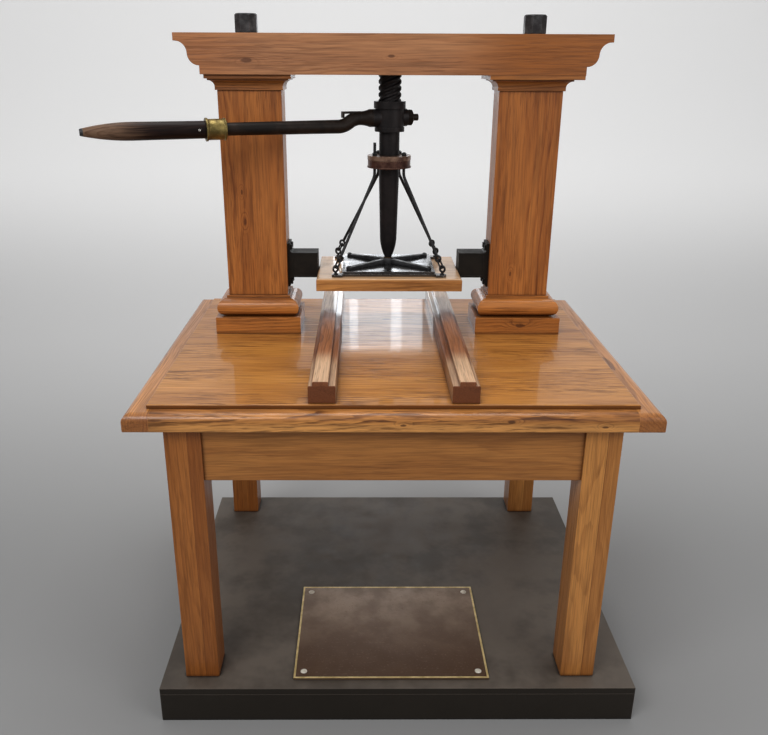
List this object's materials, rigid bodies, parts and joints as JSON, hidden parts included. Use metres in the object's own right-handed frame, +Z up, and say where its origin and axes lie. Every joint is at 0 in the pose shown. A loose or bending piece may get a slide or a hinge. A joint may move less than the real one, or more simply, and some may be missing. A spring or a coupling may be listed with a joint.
{
  "type": "printing press",
  "caption": "Wooden hand printing press on a table: a long bar turns a steep screw in the top beam, and the hanging platen moves down and up between guide brackets.",
  "frame": {"origin": "on the underside of the plinth, at the middle of the plan of the four legs, 153 mm in front of the screw's axis", "axes": "+Z up along the screw, +X to the right as seen from the front, +Y from the front to the back"},
  "size_m": [1.3632, 0.963, 1.69],
  "materials": {
    "plinth_paint": "satin dark paint on board",
    "plaque_bronze": "dark patinated bronze",
    "screw_steel": "bright domed heads",
    "leg_wood": "varnished pine, upright grain",
    "apron_wood": "varnished pine, level grain",
    "side_apron_wood": "varnished pine, level grain",
    "table_wood": "glossy varnished pine",
    "end_board_wood": "glossy varnished pine",
    "field_wood": "glossy varnished pine",
    "rail_wood": "glossy varnished pine, dark edges",
    "moulding_wood": "varnished pine",
    "post_wood": "varnished pine, upright grain",
    "beam_wood": "varnished pine, level grain",
    "tie_iron": "blackened iron",
    "nut_bronze": "aged bronze",
    "bolt_iron": "blackened iron",
    "bracket_iron": "black painted iron",
    "collar_bronze": "dark bronze",
    "hanger_iron": "blackened iron",
    "platen_wood": "varnished pine",
    "plate_steel": "polished steel",
    "spider_iron": "blackened iron",
    "cup_bronze": "oiled bronze",
    "screw_iron": "blackened iron",
    "bar_iron": "blackened iron",
    "ferrule_brass": "dull olive brass",
    "grip_wood": "dark stained wood, worn",
    "grip_cap_iron": "blackened iron"
  },
  "bodies": {
    "frame": {"plinth_top": "plinth_paint", "plinth_front": "plinth_paint", "plinth_back": "plinth_paint", "plinth_left": "plinth_paint", "plinth_right": "plinth_paint", "plinth_bearer": "plinth_paint", "plaque": "plaque_bronze", "plaque_screws": "screw_steel", "leg_front_left": "leg_wood", "leg_front_right": "leg_wood", "leg_back_left": "leg_wood", "leg_back_right": "leg_wood", "apron_front": "apron_wood", "apron_back": "apron_wood", "apron_left": "side_apron_wood", "apron_right": "side_apron_wood", "table_slab": "table_wood", "table_end_left": "end_board_wood", "table_end_right": "end_board_wood", "table_field": "field_wood", "rail_left": "rail_wood", "rail_right": "rail_wood", "base_block_left": "moulding_wood", "base_block_right": "moulding_wood", "base_torus_left": "moulding_wood", "base_torus_right": "moulding_wood", "capital_left": "moulding_wood", "capital_right": "moulding_wood", "post_left": "post_wood", "post_right": "post_wood", "cap_beam": "beam_wood", "tie_rods": "tie_iron", "tie_nuts": "tie_iron", "tie_washers": "tie_iron", "screw_nut": "nut_bronze", "nut_plate": "nut_bronze", "nut_plate_screws": "bolt_iron", "bracket_bolts": "bolt_iron", "guide_bracket_left": "bracket_iron", "guide_bracket_right": "bracket_iron"},
    "platen": {"collar_cap": "collar_bronze", "collar_halves": "collar_bronze", "hanger_rods_front": "hanger_iron", "hanger_rods_back": "hanger_iron", "rod_nuts": "hanger_iron", "corner_links": "hanger_iron", "corner_eyes": "hanger_iron", "platen_board": "platen_wood", "platen_plate": "plate_steel", "bearing_plate": "plate_steel", "spider": "spider_iron", "spider_screws": "spider_iron", "toe_cup": "cup_bronze"},
    "screw": {"spindle": "screw_iron", "stop_disc": "screw_iron", "bar": "bar_iron", "bar_nut": "bar_iron", "ferrule": "ferrule_brass", "grip": "grip_wood", "grip_cap": "grip_cap_iron"}
  },
  "joints": [
    {"name": "platen_drop", "type": "slide", "parent": "frame", "child": "platen", "axis": [0, 0, 1], "range_m": [0, 0.024]},
    {"name": "bar_swing", "type": "hinge", "parent": "platen", "child": "screw", "pos_m": [0, 0.153, 1.436], "axis": [0, 0, 1], "range_deg": [0, 130]}
  ],
  "couplings": [
    {"joint": "platen_drop", "follows": "bar_swing", "m_per_rad": 0.010504}
  ]
}
